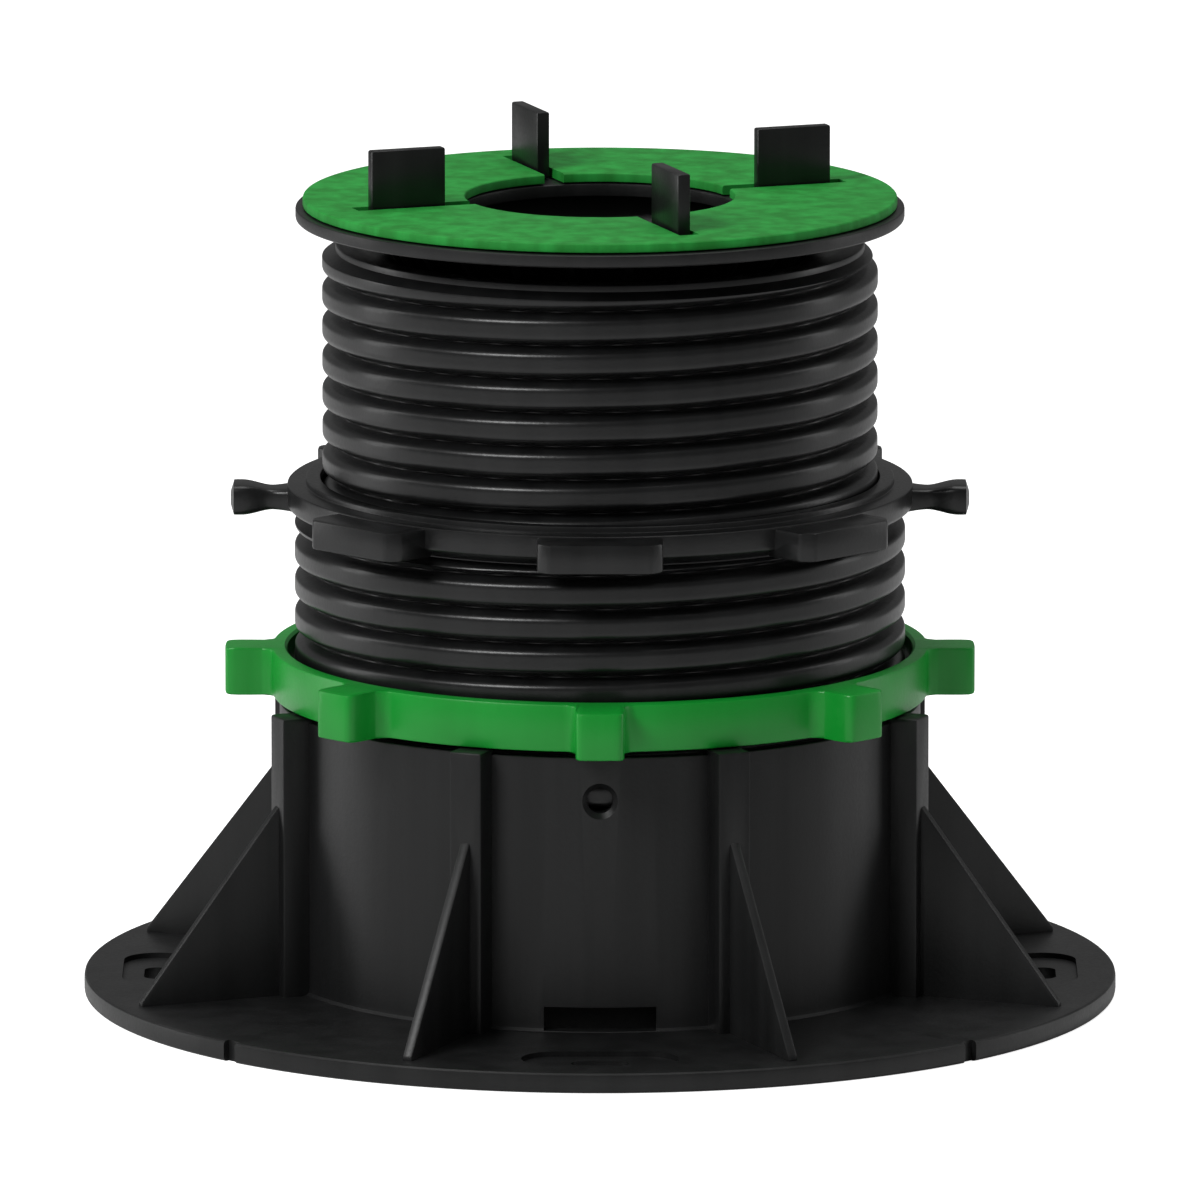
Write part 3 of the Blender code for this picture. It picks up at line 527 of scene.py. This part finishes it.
outer_screw = screw_rows(low + 0.0012, collar_low - 0.0021, COUPLER_CREST, COUPLER_ROOT, low)
collar = rounded([(COUPLER_ROOT, collar_low - 0.0019), (COLLAR_RADIUS, collar_low),
                  (COLLAR_RADIUS, high - COLLAR_STEP), (COLLAR_RING, high - COLLAR_STEP),
                  (COLLAR_RING, high), (COUPLER_BORE, high), (COUPLER_BORE, nut_high)],
                 [0.0, 0.0006, 0.0005, 0.0003, 0.0004, 0.0006, 0.0])
inner_screw = screw_rows(nut_high - 0.0003, nut_low, COUPLER_BORE, COUPLER_NUT_ROOT, tube_low.z,
                         internal=True)
coupler = turned("coupler_moulding", [foot, outer_screw, collar, inner_screw])

shelf_top = high - COLLAR_STEP - SEAT_GAP
half = SHELF_WIDTH / 2
shelf_line = [(COLLAR_RING + SEAT_GAP, -half), (SHELF_RADIUS - SHELF_CORNER, -half),
              (SHELF_RADIUS, -half + SHELF_CORNER), (SHELF_RADIUS, half - SHELF_CORNER),
              (SHELF_RADIUS - SHELF_CORNER, half), (COLLAR_RING + SEAT_GAP, half)]
shelves = gather("shelves", [
    prism(shelf_line, shelf_top - SHELF_HEIGHT, shelf_top, angle)
    for angle in SHELF_ANGLES], bevel=0.0006)
middle = shelf_top - SHELF_HEIGHT / 2


def handle(degrees):
    """A handle: a rounded bar whose height and width swell towards its end.

    Along t from 0 in the collar to 1 at the tip, both are the neck's size, plus a root that falls
    as a square, plus the tip's extra times a smooth step. Each cross-section is a superellipse.
    """
    steps, around = 24, 32
    t = np.linspace(0.0, 1.0, steps)
    swell = np.clip((t - 0.40) / 0.45, 0.0, 1.0)
    swell = swell * swell * (3 - 2 * swell)
    root = np.clip(1 - t / 0.55, 0.0, 1.0) ** 2
    close = np.sqrt(np.clip(1 - np.clip((t - 0.95) / 0.05, 0, 1) ** 2, 0.16, 1.0))
    wide = (0.0036 + 0.0014 * swell + 0.0030 * root) * close
    tall = (0.0020 + 0.0010 * swell + 0.0008 * root) * close
    angle = 2 * np.pi * np.arange(around) / around
    shape_x = np.sign(np.cos(angle)) * np.abs(np.cos(angle)) ** 0.4
    shape_y = np.sign(np.sin(angle)) * np.abs(np.sin(angle)) ** 0.4
    out = COLLAR_RING + SEAT_GAP + (HANDLE_RADIUS - COLLAR_RING - SEAT_GAP) * t
    grid = np.stack([np.broadcast_to(out[:, None], (steps, around)), wide[:, None] * shape_x[None],
                     middle + tall[:, None] * shape_y[None]], axis=-1)
    vertices = turn_about_axis(grid.reshape(-1, 3), degrees)
    row, column = np.meshgrid(np.arange(steps - 1), np.arange(around), indexing="ij")
    after = (column + 1) % around
    faces = np.stack([row * around + column, row * around + after,
                      (row + 1) * around + after, (row + 1) * around + column], axis=-1)
    index = np.arange(around)
    ends = [index[::-1].tolist(), (index + (steps - 1) * around).tolist()]
    return vertices, faces.reshape(-1, 4).tolist() + ends


handles = gather("handles", [handle(0.0), handle(180.0)])
SLIT_WIDTH = 0.0009
SLIT_ANGLE = -66.0
SLIT_MARGIN = 0.0024
TONGUE_REACH = 0.0080
TONGUE_HEIGHT = 0.0043
tongue_line = np.array([
    (-TONGUE_REACH, -SLIT_WIDTH), (-TONGUE_REACH + SLIT_WIDTH, -SLIT_WIDTH),
    (-TONGUE_REACH + SLIT_WIDTH, TONGUE_HEIGHT), (TONGUE_REACH, TONGUE_HEIGHT),
    (TONGUE_REACH, TONGUE_HEIGHT + SLIT_WIDTH), (-TONGUE_REACH, TONGUE_HEIGHT + SLIT_WIDTH)])


def slit_cutter():
    """The tongue's slit: an outline across the wall and up it, carried through the wall."""
    across, up = tongue_line[:, 0], low + tongue_line[:, 1]
    count = len(tongue_line)
    inner = np.column_stack([np.full(count, COUPLER_BORE - SLIT_MARGIN), across, up])
    outer = np.column_stack([np.full(count, COUPLER_CREST + SLIT_MARGIN), across, up])
    vertices = turn_about_axis(np.concatenate([inner, outer]), SLIT_ANGLE)
    index = np.arange(count)
    after = (index + 1) % count
    sides = np.column_stack([index, after, after + count, index + count]).tolist()
    return vertices, sides + [index[::-1].tolist(), (index + count).tolist()]


slits = gather("slits", [slit_cutter()])
shaped(coupler, (shelves, "UNION"), (handles, "UNION"), (slits, "DIFFERENCE"))
screw_black = moulded("screw_black", (0.0045, 0.0046, 0.0048), (0.0095, 0.0098, 0.0100), 0.24)
stand_for(coupler, screw_black, "coupler", "screw_plastic", "coupler")

# Riser tube: a black tube with an outer screw, closed by a dish on top in which the head tilts.
# Two slots pass through the dish and a snap tongue is cut in its foot.
TUBE_CREST = 0.0536
TUBE_ROOT = 0.0510
TUBE_BORE = 0.0485
BALL_RADIUS = 0.05327
BALL_RISE = 0.02851
HEAD_RISE = 0.0045
DISH_DEPTH = 0.0126
DISH_FLOOR = 0.0024
DISH_SLOT_INNER = 0.0310
DISH_SLOT_OUTER = 0.0350
DISH_SLOT_LENGTH = 0.0080
DISH_SLOT_ANGLE = 52.0
SNAP_WIDTH = 0.0095
SNAP_LOW = 0.0030
SNAP_HIGH = 0.0090
SNAP_ANGLE = -132.0
SNAP_MARGIN = 0.0025
low, high = tube_low.z, tube_high.z


def seat(depth, gap):
    """A point of the dish's seat: on a ball about the tilt axis, opened by a gap, at a depth."""
    drop = BALL_RISE + HEAD_RISE + depth
    return math.sqrt((BALL_RADIUS + gap) ** 2 - drop ** 2), high - depth


foot = rounded([(TUBE_BORE, low + 0.0200), (TUBE_BORE, low), (TUBE_ROOT - 0.0006, low),
                (TUBE_ROOT, low + 0.0010)], [0.0, 0.0004, 0.0004, 0.0])
tube_screw = screw_rows(low + 0.0012, high - 0.0013, TUBE_CREST, TUBE_ROOT, low)
dish = [(TUBE_ROOT, high - 0.0011), (TUBE_ROOT, high), (TUBE_BORE - 0.0014, high)]
dish += [seat(depth, 0.0006) for depth in (0.0020, 0.0048, 0.0080, 0.0103)]
floor = high - DISH_DEPTH
dish += [(0.0290, floor), (0.0043, floor), (0.0043, floor - DISH_FLOOR), (0.0266, floor - DISH_FLOOR),
         (seat(0.0048, 0.0003)[0] - 0.0012, high - 0.0077), (TUBE_BORE - 0.0026, high - 0.0044),
         (TUBE_BORE, high - 0.0072)]
dish_rows = rounded(dish, [0.0, 0.0006, 0.0008, 0.0004, 0.0004, 0.0004, 0.0004, 0.0010, 0.0003,
                           0.0003, 0.0006, 0.0006, 0.0006, 0.0006])
riser_tube = turned("riser_tube_moulding", [foot, tube_screw, dish_rows])
tube_cuts = gather("tube_cuts", [
    prism(box_outline(DISH_SLOT_INNER, DISH_SLOT_OUTER, DISH_SLOT_LENGTH),
          floor - 2 * DISH_FLOOR, high + DISH_FLOOR, -90.0 + side * DISH_SLOT_ANGLE)
    for side in (-1, 1)] + [
    prism(box_outline(TUBE_BORE - SNAP_MARGIN, TUBE_CREST + SNAP_MARGIN, SNAP_WIDTH),
          low + SNAP_LOW, low + SNAP_HIGH, SNAP_ANGLE)])
shaped(riser_tube, (tube_cuts, "DIFFERENCE"))
stand_for(riser_tube, screw_black, "tube", "screw_plastic", "riser_tube")

# Retainer: a small black crossbar on the dish's floor. Its pin goes down through the floor and
# its hub up through the head, and so it keeps the head in the dish.
PIN_RADIUS = 0.0039
HUB_RADIUS = 0.0055
HUB_HEIGHT = 0.0062
BAR_THICKNESS = 0.0022
retainer_low, retainer_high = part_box("head_retainer")
bar_low = retainer_high.z - HUB_HEIGHT
hub_rows = [(0.0000, retainer_low.z), (0.0036, retainer_low.z),
            (PIN_RADIUS, retainer_low.z + 0.0003), (PIN_RADIUS, bar_low), (HUB_RADIUS, bar_low),
            (HUB_RADIUS, retainer_high.z - 0.0006),
            (0.0049, retainer_high.z), (0.0000, retainer_high.z)]


def turned_pin(rows, around=64):
    """A solid turned from (radius, height) rows whose first and last lie on the axis."""
    rows = np.array(rows)
    angle = 2 * np.pi * np.arange(around) / around
    inner = rows[1:-1]
    grid = np.stack([inner[:, :1] * np.cos(angle), inner[:, :1] * np.sin(angle),
                     np.repeat(inner[:, 1:], around, axis=1)], axis=-1).reshape(-1, 3)
    row, column = np.meshgrid(np.arange(len(inner) - 1), np.arange(around), indexing="ij")
    after = (column + 1) % around
    faces = np.stack([row * around + column, row * around + after,
                      (row + 1) * around + after, (row + 1) * around + column], axis=-1)
    index = np.arange(around)
    ends = [index[::-1].tolist(), (index + (len(inner) - 1) * around).tolist()]
    return grid, faces.reshape(-1, 4).tolist() + ends


hub = gather("retainer_moulding", [turned_pin(hub_rows)])
bar_line = [(-0.0220, -0.0030), (-0.0100, -0.0030), (-0.0055, -0.0065), (0.0055, -0.0065),
            (0.0100, -0.0030), (0.0220, -0.0030), (0.0220, 0.0030), (0.0100, 0.0030),
            (0.0055, 0.0065), (-0.0055, 0.0065), (-0.0100, 0.0030), (-0.0220, 0.0030)]
crossbar = gather("crossbar", [prism(bar_line, bar_low, bar_low + BAR_THICKNESS)], bevel=0.0004)
retainer = shaped(hub, (crossbar, "UNION"))
stand_for(retainer, screw_black, "retainer", "base_plastic", "head_retainer")

# Head plate: a black disc over a bowl whose ribs lie on a ball, so that the head can tilt in the
# dish until its disc is level.
DISC_RADIUS = 0.0587
DISC_THICKNESS = 0.0025
DISC_HOLE = 0.0260
BOWL_DEPTH = 0.0125
BOWL_HOLE = 0.0085
BOWL_FOOT = 0.0330
BOWL_MOUTH = 0.0380
BOWL_FLOOR = 0.0020
BOWL_WALL = 0.0024
RIB_THICKNESS = 0.0016
RIB_COUNT = 24
disc = tube_high.z + HEAD_RISE
bowl = disc - BOWL_DEPTH
head_rows = rounded(
    [(BOWL_HOLE, bowl), (BOWL_FOOT, bowl), (BOWL_MOUTH, disc), (DISC_RADIUS, disc),
     (DISC_RADIUS, disc + DISC_THICKNESS), (DISC_HOLE, disc + DISC_THICKNESS), (DISC_HOLE, disc),
     (BOWL_MOUTH - BOWL_WALL, disc), (BOWL_FOOT - BOWL_WALL, bowl + BOWL_FLOOR),
     (BOWL_HOLE, bowl + BOWL_FLOOR)],
    [0.0004, 0.0008, 0.0010, 0.0008, 0.0004, 0.0004, 0.0003, 0.0010, 0.0010, 0.0004])
head_plate = turned("head_plate_moulding", [head_rows])
heights = np.linspace(-BOWL_DEPTH + SEAT_GAP, 0.0, 9)
arc = [(math.sqrt(BALL_RADIUS ** 2 - (BALL_RISE - up) ** 2), disc + up) for up in heights]
rib_line = [(0.0318, bowl + SEAT_GAP), *arc, (0.0450, disc + DISC_THICKNESS / 2),
            (0.0368, disc + DISC_THICKNESS / 2), (0.0368, disc)]
ribs = gather("ribs", [plate(rib_line, RIB_THICKNESS, 360.0 / RIB_COUNT * (number + 0.5))
                       for number in range(RIB_COUNT)], bevel=0.0002)
shaped(head_plate, (ribs, "UNION"))
stand_for(head_plate, base_black, "head", "base_plastic", "head_plate")

# Pad: a green sheet on the disc that grips the slab and softens its tread. It is slotted from
# its hole out past each spacer tab.
PAD_RADIUS = 0.0573
TAB_ANGLES = (20.0, 110.0, 200.0, 290.0)
TAB_LENGTH = 0.0150
TAB_RADIUS = 0.0395
TAB_THICKNESS = 0.0026
PAD_SLOT_WIDTH = 0.0040
PAD_SLOT_REACH = 0.0030
PAD_SLOT_DEPTH = 0.0018
pad_low, pad_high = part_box("head_pad")
pad_rows = rounded([(DISC_HOLE, pad_low.z), (PAD_RADIUS, pad_low.z), (PAD_RADIUS, pad_high.z),
                    (DISC_HOLE, pad_high.z)], [0.0002, 0.0002, 0.0006, 0.0005])
pad = turned("pad_sheet", [pad_rows])
pad_slots = gather("pad_slots", [
    prism(box_outline(DISC_HOLE - PAD_SLOT_REACH, TAB_RADIUS + TAB_LENGTH / 2 + PAD_SLOT_REACH,
                      PAD_SLOT_WIDTH),
          pad_low.z - PAD_SLOT_DEPTH, pad_high.z + PAD_SLOT_DEPTH, angle) for angle in TAB_ANGLES])
shaped(pad, (pad_slots, "DIFFERENCE"))
pad_green = moulded("pad_green", (0.0025, 0.1900, 0.0140), (0.0110, 0.3100, 0.0380), 0.62,
                    grain=620.0, streaks=270.0, lift=0.6)
stand_for(pad, pad_green, "head", "pad_rubber", "head_pad")

# Spacer tabs: four upright black plates that set the gap between slabs. Each stands on the disc
# through a slot in the pad.
for number, angle in enumerate(TAB_ANGLES, start=1):
    tab_low, tab_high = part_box(f"spacer_tab_{number}")
    tab = gather(f"tab_{number}", [
        prism(box_outline(TAB_RADIUS - TAB_LENGTH / 2, TAB_RADIUS + TAB_LENGTH / 2, TAB_THICKNESS),
              tab_low.z, tab_high.z, angle)], bevel=0.0004)
    shaped(tab)
    stand_for(tab, screw_black, "head", "tab_plastic", f"spacer_tab_{number}")

# Studio: a plain white floor and backdrop, and soft light from the upper left front, from above
# and from both sides. Floor and backdrop are white to the camera, and dimmer to what they light.
FLOOR_REACH = 30.0
AMBIENT = 0.18


def camera_white(tree, base, strength):
    """A strength that adds to its base for the rays that the camera sends, and for no others."""
    path = tree.nodes.new("ShaderNodeLightPath")
    lifted = tree.nodes.new("ShaderNodeMath")
    lifted.operation = "MULTIPLY_ADD"
    lifted.inputs[1].default_value = strength
    lifted.inputs[2].default_value = base
    tree.links.new(path.outputs["Is Camera Ray"], lifted.inputs[0])
    return lifted.outputs["Value"]


floor_mesh = bpy.data.meshes.new("studio_floor")
floor_mesh.from_pydata([(-FLOOR_REACH, -FLOOR_REACH, 0.0), (FLOOR_REACH, -FLOOR_REACH, 0.0),
                        (FLOOR_REACH, FLOOR_REACH, 0.0), (-FLOOR_REACH, FLOOR_REACH, 0.0)],
                       [], [(0, 1, 2, 3)])
studio_floor = bpy.data.objects.new("studio_floor", floor_mesh)
bpy.context.scene.collection.objects.link(studio_floor)
floor_white = bpy.data.materials.new("floor_white")
floor_white.use_nodes = True
floor_shader = floor_white.node_tree.nodes["Principled BSDF"]
floor_shader.inputs["Base Color"].default_value = (0.85, 0.85, 0.85, 1.0)
floor_shader.inputs["Roughness"].default_value = 0.9
floor_shader.inputs["Specular IOR Level"].default_value = 0.0
floor_shader.inputs["Emission Color"].default_value = (1.0, 1.0, 1.0, 1.0)
floor_white.node_tree.links.new(camera_white(floor_white.node_tree, 0.0, 0.84),
                                floor_shader.inputs["Emission Strength"])
floor_mesh.materials.append(floor_white)

world = bpy.data.worlds.new("studio_world")
bpy.context.scene.world = world
world.use_nodes = True
backdrop = world.node_tree.nodes["Background"]
backdrop.inputs["Color"].default_value = (1.0, 1.0, 1.0, 1.0)
world.node_tree.links.new(camera_white(world.node_tree, AMBIENT, 1.0 - AMBIENT),
                          backdrop.inputs["Strength"])
middle_point = (cad_box[0] + cad_box[1]) / 2


def soft_light(name, place, width, height, power):
    """A rectangular soft light that looks at the pedestal's middle."""
    lamp = bpy.data.lights.new(name, "AREA")
    lamp.shape, lamp.size, lamp.size_y, lamp.energy = "RECTANGLE", width, height, power
    light = bpy.data.objects.new(name, lamp)
    bpy.context.scene.collection.objects.link(light)
    light.location = place
    light.rotation_euler = (middle_point - light.location).to_track_quat("-Z", "Y").to_euler()


soft_light("light_key", (-0.75, -0.70, 1.00), 0.5, 0.5, 12.0)
soft_light("light_top", (0.10, 0.25, 1.20), 0.8, 0.8, 5.5)
soft_light("light_left", (-1.00, 0.25, 0.30), 0.25, 0.9, 2.4)
soft_light("light_right", (1.00, 0.25, 0.35), 0.25, 0.9, 1.6)

# Camera: a long lens a little above the pedestal, as in the photograph.
camera_data = bpy.data.cameras.new("camera")
camera = bpy.data.objects.new("camera", camera_data)
bpy.context.scene.collection.objects.link(camera)
bpy.context.scene.camera = camera
ELEVATION = math.radians(10.5)
DISTANCE = 4.0
VIEW_WIDTH = 0.232
camera_data.sensor_width = 36.0
camera_data.lens = 36.0 * DISTANCE / VIEW_WIDTH
camera_data.clip_end = 100.0
aim_point = middle_point.copy()
aim_point.z -= 0.007
camera.location = aim_point + DISTANCE * type(aim_point)((0.0, -math.cos(ELEVATION), math.sin(ELEVATION)))
camera.rotation_euler = (math.pi / 2 - ELEVATION, 0.0, 0.0)
bpy.context.scene.view_settings.view_transform = "Standard"
